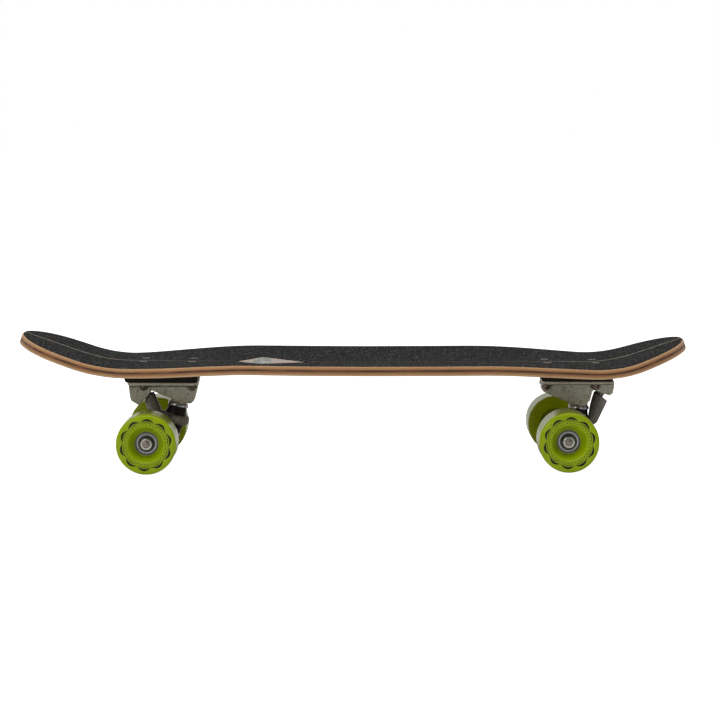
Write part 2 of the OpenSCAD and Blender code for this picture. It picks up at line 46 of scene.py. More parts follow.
# ---------------------------------------------------------------- dimensions, as in the CAD source (mm)
NOSE_X, TAIL_X, DECK_Z, DIP = -366.3, 367.6, 111.1, 1.3
NK_X, NK_R, N_ANG, TK_X, TK_R, T_ANG = -245.0, 168.0, 18.9, 258.0, 173.0, 18.7
NOSE_ROUND, TAIL_ROUND, CONCAVE = 107.0, 84.0, 7.3
PLIES = (3.8, 1.9, 4.6)
DECK_T = sum(PLIES)
GRIP_T, SLIT = 0.8, 3.0
WINDOW = ((-131.0, 0.0), (-101.0, 45.0), (-48.0, 0.0), (-101.0, -45.0))
BOLT_X = (-204.5, 242.5)
BOLT_DX, BOLT_DY = 53.98 / 2, 41.28 / 2
FRONT_AXLE, REAR_AXLE = (-221.8, 30.8), (233.5, 34.2)
FRONT_RING, REAR_RING = (-198.4, 47.0), (251.4, 44.8)
FRONT_LEAN, REAR_LEAN = 15.0, 4.0
WHEEL_Y, WHEEL_R, WHEEL_W = 87.3, 32.5, 51.0
SHIFT = -1.62

LEAN = math.atan((REAR_AXLE[1] - FRONT_AXLE[1]) / (REAR_AXLE[0] - FRONT_AXLE[0]))
LIFT = WHEEL_R + FRONT_AXLE[0] * math.sin(LEAN) - FRONT_AXLE[1] * math.cos(LEAN)


def row(p):
    """Level-deck millimetres to the row frame in metres."""
    p = np.asarray(p, float).reshape(-1, 3)
    c, s = math.cos(LEAN), math.sin(LEAN)
    return np.stack([p[:, 0] * c + p[:, 2] * s + SHIFT, p[:, 1], -p[:, 0] * s + p[:, 2] * c + LIFT], 1) / 1000


# ---------------------------------------------------------------- deck surface
BODY = np.array([(-370, 122), (-350, 123), (-330, 116), (-300, 102), (-270, 94.5), (-240, 98), (-200, 110.5),
                 (-160, 118.5), (-120, 122.5), (-60, 124.5), (0, 124.5), (60, 125), (120, 125), (160, 123.5),
                 (200, 119.5), (235, 113), (270, 106.5), (300, 103.5), (330, 102), (370, 101)], float)


def body_w(x):
    bx, by = BODY[:, 0], BODY[:, 1]
    i = np.clip(np.searchsorted(bx, x, side="right") - 1, 0, len(bx) - 2)
    a, b = np.maximum(np.arange(len(bx)) - 1, 0), np.minimum(np.arange(len(bx)) + 1, len(bx) - 1)
    m = (by[b] - by[a]) / (bx[b] - bx[a])
    h = bx[i + 1] - bx[i]
    u = (x - bx[i]) / h
    return ((2 * u**3 - 3 * u**2 + 1) * by[i] + (u**3 - 2 * u**2 + u) * h * m[i]
            + (3 * u**2 - 2 * u**3) * by[i + 1] + (u**3 - u**2) * h * m[i + 1])


def half_w(x):
    un = np.clip((NOSE_X + NOSE_ROUND - x) / NOSE_ROUND, 0, 1)
    ut = np.clip((x - TAIL_X + TAIL_ROUND) / TAIL_ROUND, 0, 1)
    return body_w(x) * np.sqrt(1 - un**1.95) * np.sqrt(1 - ut**2.12)


def ease(t):
    u = np.clip(t, 0, 1)
    return u * u * (3 - 2 * u)


def rail(x):
    return CONCAVE * ease((x + 255) / 150) * ease((310 - x) / 175)


def slope(x):
    nose = -np.minimum(math.radians(N_ANG), np.arcsin(np.clip((NK_X - x) / NK_R, 0, 1)))
    tail = np.minimum(math.radians(T_ANG), np.arcsin(np.clip((x - TK_X) / TK_R, 0, 1)))
    mid = np.where(np.abs(x) < 220, np.arctan(DIP * math.pi / 440 * np.sin(math.pi * x / 220)), 0)
    return np.where(x < NK_X, nose, np.where(x > TK_X, tail, mid))


def kick(d, r, a):
    s = r * math.sin(a)
    return np.where(d < s, r - np.sqrt(np.maximum(r * r - np.minimum(d, s)**2, 0)), r * (1 - math.cos(a)) + (d - s) * math.tan(a))


def top_z(x):
    nose = kick(np.maximum(NK_X - x, 0), NK_R, math.radians(N_ANG))
    tail = kick(np.maximum(x - TK_X, 0), TK_R, math.radians(T_ANG))
    mid = np.where(np.abs(x) < 220, -DIP * (1 + np.cos(math.pi * x / 220)) / 2, 0)
    return DECK_Z + np.where(x < NK_X, nose, np.where(x > TK_X, tail, mid))


def surface(x, y, t, w=None):
    """The point at x, y on the top veneer, t above it along the deck's own normal."""
    w = half_w(x) if w is None else w
    a = slope(x)
    z = top_z(x) + rail(x) * (np.abs(y) / np.maximum(w, 1e-3))**1.55
    return np.stack(np.broadcast_arrays(x - t * np.sin(a), y, z + t * np.cos(a)), -1)


# ---------------------------------------------------------------- mesh helpers
def make(name, verts, faces, mat, smooth=35, uv=None, keep=False):
    mat = [getattr(q, "m", q) for q in (mat if isinstance(mat, (list, tuple)) else [mat])]
    me = bpy.data.meshes.new(name)
    me.from_pydata([tuple(v) for v in verts], [], [tuple(f) for f in faces])
    me.validate()
    if uv is not None:
        layer = me.uv_layers.new(name="UVMap")
        idx = np.zeros(len(me.loops), np.int32)
        me.loops.foreach_get("vertex_index", idx)
        layer.data.foreach_set("uv", np.asarray(uv, np.float32)[idx].ravel())
    if not keep:
        bm = bmesh.new()
        bm.from_mesh(me)
        bmesh.ops.recalc_face_normals(bm, faces=bm.faces)
        bm.to_mesh(me)
        bm.free()
    me.shade_smooth()
    if smooth:
        me.set_sharp_from_angle(angle=math.radians(smooth))
    o = bpy.data.objects.new(name, me)
    col.objects.link(o)
    for m in (mat if isinstance(mat, (list, tuple)) else [mat]):
        me.materials.append(m)
    return o


def lathe(profile, n=160, closed=True):
    """Verts and faces of a profile of (radius, along) turned about Z."""
    p = np.array(profile, float)
    a = np.arange(n) * 2 * math.pi / n
    v = np.stack([np.outer(np.cos(a), p[:, 0]), np.outer(np.sin(a), p[:, 0]), np.tile(p[:, 1], (n, 1))], -1).reshape(-1, 3)
    m = len(p)
    f = [(i * m + j, ((i + 1) % n) * m + j, ((i + 1) % n) * m + (j + 1) % m, i * m + (j + 1) % m)
         for i in range(n) for j in range(m if closed else m - 1)]
    return v, f


def arc(cx, cz, r, a0, a1, n=8):
    return [(cx + r * math.cos(math.radians(a0 + (a1 - a0) * i / n)), cz + r * math.sin(math.radians(a0 + (a1 - a0) * i / n)))
            for i in range(n + 1)]


def wheel_place(v, axle, side):
    """Wheel coordinates, with Z pointing away from the board, to the level-deck frame."""
    v = np.asarray(v, float)
    s = side
    return np.stack([v[:, 0] + axle[0], s * (v[:, 2] + WHEEL_Y), -s * v[:, 1] * s + axle[1]], 1) if s < 0 else \
        np.stack([v[:, 0] + axle[0], v[:, 2] + WHEEL_Y, -v[:, 1] + axle[1]], 1)


# ---------------------------------------------------------------- materials
def lin(r, g, b):
    f = lambda c: c / 12.92 if c <= 0.04045 else ((c + 0.055) / 1.055)**2.4
    return tuple(f(c / 255) for c in (r, g, b)) + (1.0,)


class Mat:
    def __init__(self, name, rough=0.5, metal=0.0, spec=0.5, coat=0.0, coat_rough=0.1):
        self.m = bpy.data.materials.new(name)
        self.m.use_nodes = True
        self.t = self.m.node_tree
        self.b = next(n for n in self.t.nodes if n.type == "BSDF_PRINCIPLED")
        self.set("Roughness", rough)
        self.set("Metallic", metal)
        self.set("Specular IOR Level", spec)
        self.set("Coat Weight", coat)
        self.set("Coat Roughness", coat_rough)
        self._coord = None

    def set(self, k, v):
        self.b.inputs[k].default_value = v

    def node(self, kind, **props):
        n = self.t.nodes.new(kind)
        for k, v in props.items():
            setattr(n, k, v)
        return n

    def link(self, a, b):
        self.t.links.new(a, b)

    def coord(self, scale=(1, 1, 1), uv=False):
        if self._coord is None:
            self._coord = self.node("ShaderNodeTexCoord")
        mp = self.node("ShaderNodeMapping")
        mp.inputs["Scale"].default_value = scale
        self.link(self._coord.outputs["UV" if uv else "Object"], mp.inputs["Vector"])
        return mp.outputs["Vector"]

    def noise(self, scale, detail=3.0, rough=0.55, stretch=(1, 1, 1), dist=0.0):
        n = self.node("ShaderNodeTexNoise")
        n.inputs["Scale"].default_value = scale
        n.inputs["Detail"].default_value = detail
        n.inputs["Roughness"].default_value = rough
        n.inputs["Distortion"].default_value = dist
        self.link(self.coord(stretch), n.inputs["Vector"])
        return n.outputs["Fac"]

    def ramp(self, fac, stops):
        r = self.node("ShaderNodeValToRGB")
        e = r.color_ramp.elements
        while len(e) < len(stops):
            e.new(0.5)
        for el, (p, c) in zip(e, sorted(stops, key=lambda s: s[0])):
            el.position = p
            el.color = c if len(c) == 4 else tuple(c) + (1.0,)
        self.link(fac, r.inputs["Fac"])
        return r.outputs["Color"]

    def math(self, op, a, b=None, c=None, clamp=False):
        n = self.node("ShaderNodeMath", operation=op, use_clamp=clamp)
        for i, x in enumerate((a, b, c)):
            if x is None:
                continue
            if isinstance(x, (int, float)):
                n.inputs[i].default_value = x
            else:
                self.link(x, n.inputs[i])
        return n.outputs[0]

    def mix(self, fac, a, b, blend="MIX"):
        n = self.node("ShaderNodeMix", data_type="RGBA", blend_type=blend)
        for s, x in ((n.inputs[0], fac), (n.inputs[6], a), (n.inputs[7], b)):
            if isinstance(x, (int, float)):
                s.default_value = x
            elif isinstance(x, tuple):
                s.default_value = x
            else:
                self.link(x, s)
        return n.outputs[2]

    def color(self, c):
        if isinstance(c, tuple):
            self.set("Base Color", c)
        else:
            self.link(c, self.b.inputs["Base Color"])

    def rough(self, fac, lo, hi):
        n = self.node("ShaderNodeMapRange")
        n.inputs["To Min"].default_value = lo
        n.inputs["To Max"].default_value = hi
        self.link(fac, n.inputs["Value"])
        self.link(n.outputs["Result"], self.b.inputs["Roughness"])

    def bump(self, h, strength, dist):
        n = self.node("ShaderNodeBump")
        n.inputs["Strength"].default_value = strength
        n.inputs["Distance"].default_value = dist
        self.link(h, n.inputs["Height"])
        prev = self.b.inputs["Normal"]
        if prev.is_linked:
            self.link(prev.links[0].from_socket, n.inputs["Normal"])
        self.link(n.outputs["Normal"], self.b.inputs["Normal"])


def shade(c, k):
    return (c[0] * k, c[1] * k, c[2] * k, 1.0)


def ply_material(name, sheets, tint=1.0, streak=0.0):
    """Veneer with long grain; UV v is the depth in millimetres, so each glued sheet has its own tone on the edge."""
    m = Mat(name, rough=0.5, spec=0.3)
    grain = m.noise(60, 5, 0.62, (0.35, 9, 9))
    fine = m.noise(420, 3, 0.6, (0.12, 6, 6))
    cloud = m.noise(9, 3, 0.55, (1, 1.5, 1.5))
    uv = m.node("ShaderNodeUVMap", uv_map="UVMap")
    sep = m.node("ShaderNodeSeparateXYZ")
    m.link(uv.outputs["UV"], sep.inputs[0])
    wob = m.math("MULTIPLY", m.math("SUBTRACT", m.noise(26, 3), 0.5), 1.3)
    d = m.math("MULTIPLY", m.math("ADD", sep.outputs[1], wob), -1.0 / DECK_T, clamp=True)
    c = m.ramp(d, [(min(t / DECK_T, 1.0), lin(*[k * tint for k in rgb])) for t, rgb in sheets])
    c = m.mix(m.math("MULTIPLY", grain, 0.95), c, (0.62, 0.60, 0.58, 1), "MULTIPLY")
    c = m.mix(m.math("MULTIPLY", fine, 0.5), c, (0.6, 0.58, 0.55, 1), "MULTIPLY")
    c = m.mix(m.math("MULTIPLY", cloud, 0.35), c, (1.25, 1.2, 1.15, 1), "MULTIPLY")
    if streak:
        knots = m.ramp(m.noise(24, 4, 0.7, (1, 3, 12)), [(0.46, (0, 0, 0, 1)), (0.62, (1, 1, 1, 1))])
        c = m.mix(m.math("MULTIPLY", knots, streak), c, lin(156, 102, 66))
    m.color(c)
    m.rough(grain, 0.42, 0.62)
    m.bump(grain, 0.25, 0.0002)
    return m


LIGHT, WARM, MID, DEEP, PALE = (222, 180, 138), (214, 158, 106), (178, 132, 90), (80, 56, 40), (222, 184, 144)
m_upper = ply_material("light_veneer_upper", ((0, LIGHT), (1.1, LIGHT), (1.4, WARM), (2.5, WARM), (2.9, MID), (3.7, MID)))
m_lower = ply_material("light_veneer_lower", ((5.7, (158, 116, 80)), (7.0, (168, 122, 84)), (7.4, (196, 148, 102)), (8.6, (202, 156, 110)), (9.0, PALE), (10.3, PALE)))
m_core = ply_material("dark_veneer", ((3.8, (112, 82, 60)), (4.2, DEEP), (5.3, DEEP), (5.7, (120, 88, 64))), streak=0.55)

# the top veneer inside the window: pale, with one plain grey band
m_top = Mat("pale_top_veneer", rough=0.5, spec=0.3)
g = m_top.noise(70, 4, 0.6, (0.4, 8, 8))
pale = m_top.ramp(g, [(0.3, lin(168, 150, 140)), (0.75, lin(208, 189, 178))])
sp = m_top.node("ShaderNodeSeparateXYZ")
m_top.link(m_top.coord(), sp.inputs[0])
bx = m_top.math("ABSOLUTE", m_top.math("SUBTRACT", sp.outputs[0], -0.1015))
band = m_top.math("MULTIPLY", m_top.math("SUBTRACT", 0.0105, bx), 1500.0, clamp=True)
rub = m_top.ramp(m_top.noise(210, 3, 0.7, (1, 0.25, 1)), [(0.4, lin(122, 124, 120)), (0.6, lin(186, 184, 176))])
m_top.color(m_top.mix(m_top.math("MULTIPLY", band, 0.9), pale, rub))

m_grip = Mat("grit_sheet", rough=0.9, spec=0.08)
n1 = m_grip.noise(560, 3, 0.8)
n2 = m_grip.noise(240, 3, 0.6)
n3 = m_grip.noise(22, 2, 0.5)
c = m_grip.ramp(n1, [(0.42, lin(15, 15, 16)), (0.56, lin(34, 34, 34)), (0.62, lin(96, 96, 94)), (0.67, lin(190, 190, 186))])
c = m_grip.mix(m_grip.math("MULTIPLY", n2, 0.25), c, lin(24, 24, 25))
m_grip.color(m_grip.mix(m_grip.math("MULTIPLY", n3, 0.12), c, lin(60, 59, 57)))
m_grip.bump(n1, 0.7, 0.0005)

m_cut = Mat("grit_sheet_cut_edge", rough=0.8, spec=0.2)
cx = m_cut.node("ShaderNodeSeparateXYZ")
m_cut.link(m_cut.coord(), cx.inputs[0])
ends = m_cut.math("MULTIPLY", m_cut.math("SUBTRACT", m_cut.math("ABSOLUTE", cx.outputs[0]), 0.17), 9.0, clamp=True)
cut = m_cut.ramp(m_cut.noise(500, 3, 0.6), [(0.3, lin(170, 156, 138)), (0.75, lin(225, 212, 194))])
m_cut.color(m_cut.mix(ends, lin(104, 96, 86), cut))

m_ure = Mat("green_urethane", rough=0.2, spec=0.2)
u1 = m_ure.noise(40, 3, 0.5)
u2 = m_ure.noise(900, 2, 0.5)
cu = m_ure.ramp(u1, [(0.25, lin(150, 172, 6)), (0.8, lin(160, 182, 10))])
m_ure.color(cu)
m_ure.rough(u2, 0.14, 0.22)
m_ure.bump(u2, 0.04, 0.0001)
m_ure.set("Subsurface Weight", 0.12)
m_ure.set("Subsurface Radius", (0.8, 1.0, 0.1))
m_ure.set("Subsurface Scale", 0.003)

m_print = Mat("black_print", rough=0.4, spec=0.3)
m_print.color(m_print.ramp(m_print.noise(700, 2), [(0.3, lin(8, 10, 4)), (0.8, lin(20, 24, 9))]))


def cast(name, base, rough, metal, grain=0.5, flange_shade_z=None):
    m = Mat(name, rough=rough, metal=metal, spec=0.5)
    a = m.noise(55, 4, 0.6)
    b = m.noise(1300, 3, 0.6)
    c = m.ramp(a, [(0.25, shade(base, 0.82)), (0.8, shade(base, 1.15))])
    c = m.mix(m.math("MULTIPLY", b, 0.18), c, shade(base, 1.7))
    pits = m.ramp(m.noise(380, 4, 0.75), [(0.5, (0, 0, 0, 1)), (0.68, (1, 1, 1, 1))])
    c = m.mix(m.math("MULTIPLY", pits, 0.7), c, shade(base, 0.16))
    if flange_shade_z:
        # painted shade: a dark line painted in the corner under the flange, at one height per truck
        sp = m.node("ShaderNodeSeparateXYZ")
        m.link(m.coord(), sp.inputs[0])
        front = m.math("LESS_THAN", sp.outputs[0], 0.0)
        z0 = m.math("MULTIPLY_ADD", front, flange_shade_z[0] - flange_shade_z[1], flange_shade_z[1])
        d = m.math("ABSOLUTE", m.math("SUBTRACT", sp.outputs[2], z0))
        f = m.math("SUBTRACT", 1.0, m.math("MULTIPLY", d, 700.0), clamp=True)
        f = m.math("MULTIPLY", f, m.math("MULTIPLY_ADD", a, 2.4, -0.1, clamp=True))
        c = m.mix(f, c, shade(base, 0.12))
    m.color(c)
    m.rough(b, rough - 0.08, rough + 0.12)
    m.bump(b, grain, 0.00022)
    m.bump(a, 0.2, 0.0008)
    return m


# flange_shade_z gives the heights of the painted shade line under the flange, front then rear
m_base = cast("gunmetal_cast", lin(176, 174, 158), 0.38, 0.6, flange_shade_z=(0.0857, 0.0867))
m_hanger = cast("dark_cast", lin(116, 114, 107), 0.42, 0.6)


def steel(name, base, rough, metal=1.0, streak=(1, 1, 1)):
    m = Mat(name, rough=rough, metal=metal)
    a = m.noise(320, 3, 0.6, streak)
    m.color(m.ramp(a, [(0.25, shade(base, 0.86)), (0.8, shade(base, 1.08))]))
    m.rough(a, max(rough - 0.07, 0.04), rough + 0.1)
    return m


m_zinc = steel("zinc_steel", lin(188, 184, 176), 0.28)
m_axle = steel("axle_steel", lin(150, 140, 136), 0.42)
m_bright = steel("bright_steel", lin(225, 225, 225), 0.12)
m_cup = steel("dark_chrome", lin(176, 176, 178), 0.14)
m_bolt = steel("nickel_steel", lin(112, 109, 103), 0.36)
m_bearing = steel("bearing_steel", lin(196, 196, 198), 0.3)
# dark steel with a random tone; the sparse bright copper specks are painted glints
m_black_steel = Mat("black_steel_painted_glints", rough=0.36, metal=0.9)
w1 = m_black_steel.noise(420, 3, 0.65)
m_black_steel.color(m_black_steel.ramp(w1, [(0.35, lin(52, 48, 43)), (0.55, lin(98, 90, 80)), (0.66, lin(196, 168, 140))]))
m_black_steel.rough(w1, 0.28, 0.46)


def nut(name, axle_x):
    """Zinc nut with painted light: a bright ring painted at the chamfer as a painted highlight, painted shade on the
    wrench flats outside it, the axle end in the middle.
    """
    m = Mat(name, rough=0.3, metal=1.0)
    at = m.node("ShaderNodeVectorMath", operation="SUBTRACT")
    m.link(m.coord(), at.inputs[0])
    at.inputs[1].default_value = (axle_x, 0.0, 0.0325)
    flat = m.node("ShaderNodeVectorMath", operation="MULTIPLY")
    m.link(at.outputs[0], flat.inputs[0])
    flat.inputs[1].default_value = (100.0, 0.0, 100.0)
    r = m.node("ShaderNodeVectorMath", operation="LENGTH")
    m.link(flat.outputs[0], r.inputs[0])
    n = m.noise(500, 3, 0.6)
    # painted highlight ring from 4.4 to 5.8 mm, painted shade beyond 6.3 mm, plain grey axle end inside 4 mm
    c = m.ramp(r.outputs["Value"], [(0.40, lin(120, 112, 108)), (0.44, lin(236, 234, 228)), (0.58, lin(236, 234, 228)), (0.63, lin(104, 102, 98))])
    m.color(m.mix(m.math("MULTIPLY", n, 0.35), c, lin(110, 106, 100)))
    m.rough(n, 0.2, 0.4)
    return m


m_nut_f, m_nut_r = nut("zinc_nut_front", -0.2231838), nut("zinc_nut_rear", 0.2321289)


def plastic(name, base, rough, spec=0.5, bump=0.15, scale=900):
    m = Mat(name, rough=rough, spec=spec)
    a = m.noise(scale, 3, 0.6)
    b = m.noise(45, 2, 0.5)
    m.color(m.ramp(b, [(0.2, shade(base, 0.85)), (0.85, shade(base, 1.2))]))
    m.rough(a, rough - 0.06, rough + 0.12)
    m.bump(a, bump, 0.0001)
    return m


m_riser = plastic("riser_black", lin(20, 20, 18), 0.5, 0.14)
m_bush = plastic("bushing_black", lin(13, 12, 12), 0.36, 0.2)
m_shield = plastic("shield_dark", lin(92, 91, 86), 0.32, 0.6)
m_core_pl = plastic("core_grey", lin(112, 113, 110), 0.42, 0.4)

# ---------------------------------------------------------------- deck
ROWS, COLS = 240, 32


def stations(n, cut=0.03):
    a, b = NOSE_X + cut, TAIL_X - cut
    return (a + b) / 2 - (b - a) / 2 * np.cos(np.linspace(0, math.pi, n + 1))


def edge_inset(t, r=1.1):
    d = min(-t, DECK_T + t)
    return 0.05 + (r - math.sqrt(max(r * r - (r - max(d, 0))**2, 0)) if d < r else 0.0)


def level(x, v, t, inset):
    w = half_w(x)
    k = 1 - inset / ((TAIL_X - NOSE_X) / 2)
    mid = (TAIL_X + NOSE_X) / 2
    X = np.repeat((mid + (x - mid) * k)[:, None], len(v), 1)
    Y = np.outer(np.maximum(w - inset, 0.15 * w), v)
    return surface(X, Y, t, np.repeat(np.maximum(w, 1e-3)[:, None], len(v), 1))


def deck_layer(name, levels, mats, top_slot=None):
    x = stations(ROWS)
    v = np.linspace(-1, 1, COLS + 1)
    n, m = len(x), len(v)
    top, bot = level(x, v, levels[0], edge_inset(levels[0])), level(x, v, levels[-1], edge_inset(levels[-1]))
    verts = [top.reshape(-1, 3), bot.reshape(-1, 3)]
    uv = [np.stack([top.reshape(-1, 3)[:, 0] / 1000, np.full(n * m, levels[0])], 1),
          np.stack([bot.reshape(-1, 3)[:, 0] / 1000, np.full(n * m, levels[-1])], 1)]
    loop = [(0, j) for j in range(m)] + [(i, m - 1) for i in range(1, n)] + [(n - 1, j) for j in range(m - 2, -1, -1)] + [(i, 0) for i in range(n - 2, 0, -1)]
    li = np.array([i * m + j for i, j in loop])
    rings = [li]
    base = 2 * n * m
    for t in levels[1:-1]:
        g_ = level(x, v, t, edge_inset(t)).reshape(-1, 3)[li]
        verts.append(g_)
        uv.append(np.stack([g_[:, 0] / 1000, np.full(len(li), t)], 1))
        rings.append(np.arange(base, base + len(li)))
        base += len(li)
    rings.append(li + n * m)
    faces, slots = [], []
    for i in range(n - 1):
        for j in range(m - 1):
            a = i * m + j
            faces.append((a, a + m, a + m + 1, a + 1))
            slots.append(1 if top_slot else 0)
            b = a + n * m
            faces.append((b, b + 1, b + m + 1, b + m))
            slots.append(0)
    L = len(li)
    for ra, rb in zip(rings[:-1], rings[1:]):
        for k in range(L):
            k2 = (k + 1) % L
            faces.append((ra[k], ra[k2], rb[k2], rb[k]))
            slots.append(0)
    o = make(name, row(np.concatenate(verts)), faces, mats, 40, np.concatenate(uv))
    o.data.polygons.foreach_set("material_index", np.array(slots, np.int32))
    return o


p1, p2, p3 = -PLIES[0], -PLIES[0] - PLIES[1], -DECK_T
upper = deck_layer("deck_upper", [0, -0.05, -0.2, -0.45, -0.8, -1.1, p1], [m_upper, m_top], True)
core = deck_layer("deck_core", [p1, p2], [m_core])
lower = deck_layer("deck_lower", [p2, p3 + 1.1, p3 + 0.8, p3 + 0.45, p3 + 0.2, p3 + 0.05, p3], [m_lower])


def cylinder(bm, x, y, r, z0, z1, n=40):
    a = np.arange(n) * 2 * math.pi / n
    lo = [bm.verts.new((x + r * math.cos(t), y + r * math.sin(t), z0)) for t in a]
    hi = [bm.verts.new((x + r * math.cos(t), y + r * math.sin(t), z1)) for t in a]
    bm.faces.new(lo[::-1])
    bm.faces.new(hi)
    for i in range(n):
        j = (i + 1) % n
        bm.faces.new((lo[i], lo[j], hi[j], hi[i]))


def cutter(kind):
    """Closed prisms in the level-deck frame, turned into the row frame."""
    bm = bmesh.new()
    if kind == "grip":
        lo = [bm.verts.new((x, y, 100)) for x, y in WINDOW]
        hi = [bm.verts.new((x, y, 125)) for x, y in WINDOW]
        lo, hi = lo[::-1], hi[::-1]
        bm.faces.new(lo[::-1])
        bm.faces.new(hi)
        for i in range(4):
            j = (i + 1) % 4
            bm.faces.new((lo[i], lo[j], hi[j], hi[i]))
    r = {"grip": 5.1, "deck": 4.9}[kind]
    for bxx in BOLT_X:
        for sx in (-1, 1):
            for sy in (-1, 1):
                cylinder(bm, bxx + sx * BOLT_DX, sy * BOLT_DY, r, 100 if kind == "grip" else 109.6, 125)
    bmesh.ops.recalc_face_normals(bm, faces=bm.faces)
    for vv, p in zip(bm.verts, row([tuple(v.co) for v in bm.verts])):
        vv.co = p
    me = bpy.data.meshes.new("cut_" + kind)
    bm.to_mesh(me)
    bm.free()
    o = bpy.data.objects.new("cut_" + kind, me)
    col.objects.link(o)
    return o


def carve(obj, cut):
    mod = obj.modifiers.new("carve", "BOOLEAN")
    mod.operation, mod.solver, mod.object = "DIFFERENCE", "EXACT", cut
    dg = bpy.context.evaluated_depsgraph_get()
    me = bpy.data.meshes.new_from_object(obj.evaluated_get(dg), preserve_all_data_layers=True, depsgraph=dg)
    obj.modifiers.clear()
    obj.data = me
    me.shade_smooth()
    me.set_sharp_from_angle(angle=math.radians(40))


def grip_half(name, side):
    ins = 1.15
    x = stations(ROWS, 0.25)
    k = 1 - ins / ((TAIL_X - NOSE_X) / 2)
    mid = (TAIL_X + NOSE_X) / 2
    w = half_w(x)
    f = np.linspace(0, 1, 25)
    X = np.repeat((mid + (x - mid) * k)[:, None], len(f), 1)
    ymax = np.maximum(w - ins, SLIT / 2 + 0.3)
    Y = side * (SLIT / 2 + np.outer(ymax - SLIT / 2, f))
    W = np.repeat(np.maximum(w, 1e-3)[:, None], len(f), 1)
    n, m = X.shape
    levels = [(0.02, 0.0), (GRIP_T - 0.15, 0.0), (GRIP_T, 0.15)]
    grids = []
    for t, e in levels:
        sh = np.clip(1 - e / np.maximum(ymax, 1), 0, 1)[:, None]
        Ye = side * (SLIT / 2 + e / 2) + (Y - side * SLIT / 2) * sh
        grids.append(surface(X, Ye, t, W).reshape(-1, 3))
    loop = [(0, j) for j in range(m)] + [(i, m - 1) for i in range(1, n)] + [(n - 1, j) for j in range(m - 2, -1, -1)] + [(i, 0) for i in range(n - 2, 0, -1)]
    li = np.array([i * m + j for i, j in loop])
    verts = np.concatenate([grids[0], grids[2], grids[1][li]])
    faces = []
    for i in range(n - 1):
        for j in range(m - 1):
            a = i * m + j
            faces.append((a, a + 1, a + m + 1, a + m))
            b = a + n * m
            faces.append((b, b + m, b + m + 1, b + 1))
    L = len(li)
    r0, r1, r2 = li, np.arange(2 * n * m, 2 * n * m + L), li + n * m
    for ra, rb in ((r0, r1), (r1, r2)):
        for q in range(L):
            q2 = (q + 1) % L
            faces.append((ra[q], rb[q], rb[q2], ra[q2]))
    o = make(name, row(verts), faces, [m_grip, m_cut], 40)
    mid_z = 0.5 * SLIT / 1000 + 0.0004
    idx = [1 if (abs(p.center.y) < mid_z and abs(p.normal.y) > 0.7) else 0 for p in o.data.polygons]
    o.data.polygons.foreach_set("material_index", idx)
    return o


grip_l = grip_half("grip_left", -1)
grip_r = grip_half("grip_right", 1)
cut_g, cut_d = cutter("grip"), cutter("deck")
carve(grip_l, cut_g)
carve(grip_r, cut_g)
carve(upper, cut_d)
for c_ in (cut_g, cut_d):
    me_ = c_.data
    bpy.data.objects.remove(c_)
    bpy.data.meshes.remove(me_)

for o, node, sl in ((upper, "deck_upper_plies", "light_ply"), (core, "deck_core_ply", "dark_ply"),
                    (lower, "deck_lower_plies", "light_ply"), (grip_l, "grip_tape_left", "grip"), (grip_r, "grip_tape_right", "grip")):
    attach(o, "board")
    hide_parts(node)

# ---------------------------------------------------------------- wheels
E = WHEEL_W / 2
LIP = 3.75


def wheel_profile():
    p = [(12.8, 13.0), (13.3, 13.0)]
    p += [(13.3 + 5.6 * u, 13.0 + 11.6 * u**1.08) for u in np.linspace(0.08, 1, 9)]
    p += arc(20.4, E - 1.0, 1.0, 150, 92, 5)
    p += [(20.9, E), (24.0, E), (27.0, E)]
    p += arc(WHEEL_R - LIP, E - LIP, LIP, 90, 0, 12)
    p += [(WHEEL_R, z) for z in (14, 7, 0, -7, -14)]
    p += arc(WHEEL_R - LIP, LIP - E, LIP, 0, -90, 12)
    p += [(27.0, -E), (24.0, -E), (20.9, -E)]
    p += arc(20.4, 1.0 - E, 1.0, -92, -150, 5)
    p += [(13.3 + 5.6 * u, -13.0 - 11.6 * u**1.08) for u in np.linspace(1, 0.08, 9)]
    p += [(13.3, -13.0), (12.8, -13.0), (12.8, -10), (17, -10), (17, 10), (12.8, 10)]
    return p


def print_mesh():
    """A plain scalloped ring of tapered strokes, lying on the outer face."""
    verts, faces = [], []

    def strip(rc, wd, a0, a1, n, z=E):
        s = len(verts)
        for i in range(n + 1):
            u = i / n
            a = math.radians(a0 + (a1 - a0) * u)
            r, w_ = rc(u), wd(u)
            for k in (-0.5, 0.5):
                verts.append(((r + k * w_) * math.cos(a), (r + k * w_) * math.sin(a), z - 0.25))
            for k in (-0.5, 0.5):
                verts.append(((r + k * w_) * math.cos(a), (r + k * w_) * math.sin(a), z + 0.03))
        for i in range(n):
            a, b = s + 4 * i, s + 4 * (i + 1)
            faces.extend([(a + 2, b + 2, b + 3, a + 3), (a, a + 1, b + 1, b), (a, b, b + 2, a + 2), (a + 1, a + 3, b + 3, b + 1)])
        faces.append((s, s + 2, s + 3, s + 1))
        e = s + 4 * n
        faces.append((e, e + 1, e + 3, e + 2))

    lobes = 10
    step = 360 / lobes
    for q in range(lobes):
        a0 = q * step + 5
        strip(lambda u: 24.0 + 3.0 * math.sin(math.pi * u)**0.8, lambda u: 0.5 + 2.0 * math.sin(math.pi * u)**1.3, a0, a0 + step - 1.5, 24)
        strip(lambda u: 23.2 + 1.1 * math.sin(math.pi * u), lambda u: 0.3 + 0.5 * math.sin(math.pi * u), a0 + 5, a0 + step - 6.5, 12)
    for q in range(36):
        strip(lambda u: 21.6, lambda u: 0.7, q * 10, q * 10 + 4.2, 3)
    return np.array(verts), faces


